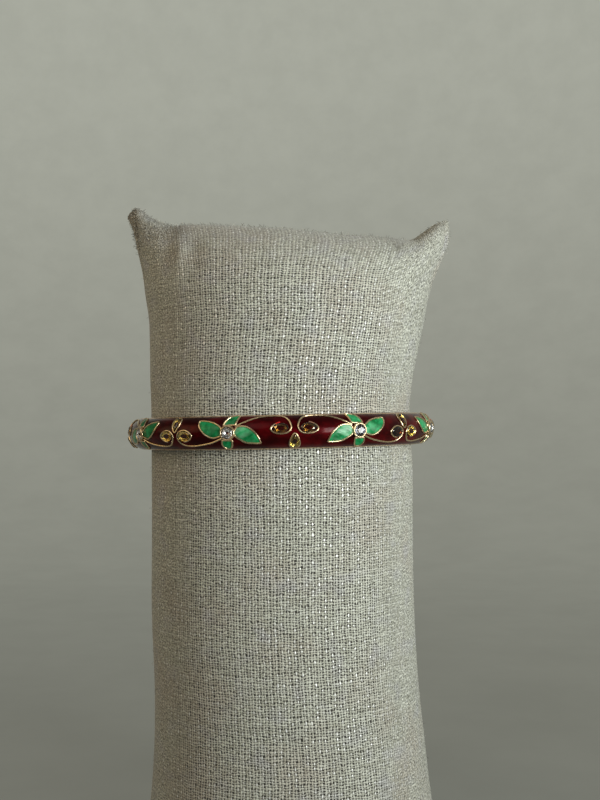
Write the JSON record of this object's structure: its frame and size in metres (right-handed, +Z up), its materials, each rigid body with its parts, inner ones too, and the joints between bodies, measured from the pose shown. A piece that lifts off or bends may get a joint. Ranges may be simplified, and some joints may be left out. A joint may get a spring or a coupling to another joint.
{
  "type": "enamelled copper bangle on a display pillow",
  "caption": "Slim round slip-on bangle in red enamel with gilt vine wires, green petals and set stones, held level by an upright linen display pillow.",
  "frame": {"origin": "on the flat foot of the pillow, under the middle of the whole part's box", "axes": "+Z up along the pillow, -Y towards the side that the picture shows, +X to the picture's right"},
  "size_m": [0.0732, 0.069, 0.1403],
  "materials": {
    "linen": "coarse natural linen with a fine silver thread",
    "gilt_copper": "gilt copper, polished",
    "red_enamel": "deep red translucent enamel, polished",
    "gilt_wire": "pale gilt wire, polished",
    "green_enamel": "mottled leaf green enamel, polished",
    "clear_stone": "clear cut glass",
    "amber_stone": "olive amber cut glass"
  },
  "bodies": {
    "root": {"display_pillow": "linen", "copper_ring": "gilt_copper", "red_enamel": "red_enamel", "gilt_wires_1": "gilt_wire", "gilt_wires_2": "gilt_wire", "gilt_wires_3": "gilt_wire", "gilt_wires_4": "gilt_wire", "gilt_wires_5": "gilt_wire", "gilt_wires_6": "gilt_wire", "gilt_wires_7": "gilt_wire", "gilt_wires_8": "gilt_wire", "green_petals_1": "green_enamel", "green_petals_2": "green_enamel", "green_petals_3": "green_enamel", "green_petals_4": "green_enamel", "green_petals_5": "green_enamel", "green_petals_6": "green_enamel", "green_petals_7": "green_enamel", "green_petals_8": "green_enamel", "clear_stone_1": "clear_stone", "clear_stone_2": "clear_stone", "clear_stone_3": "clear_stone", "clear_stone_4": "clear_stone", "clear_stone_5": "clear_stone", "clear_stone_6": "clear_stone", "clear_stone_7": "clear_stone", "clear_stone_8": "clear_stone", "drop_stone_1": "amber_stone", "drop_stone_2": "amber_stone", "drop_stone_3": "amber_stone", "drop_stone_4": "amber_stone", "drop_stone_5": "amber_stone", "drop_stone_6": "amber_stone", "drop_stone_7": "amber_stone", "drop_stone_8": "amber_stone", "curl_stone_1": "amber_stone", "curl_stone_2": "amber_stone", "curl_stone_3": "amber_stone", "curl_stone_4": "amber_stone", "curl_stone_5": "amber_stone", "curl_stone_6": "amber_stone", "curl_stone_7": "amber_stone", "curl_stone_8": "amber_stone", "curl_stone_9": "amber_stone", "curl_stone_10": "amber_stone", "curl_stone_11": "amber_stone", "curl_stone_12": "amber_stone", "curl_stone_13": "amber_stone", "curl_stone_14": "amber_stone", "curl_stone_15": "amber_stone", "curl_stone_16": "amber_stone"}
  },
  "joints": []
}
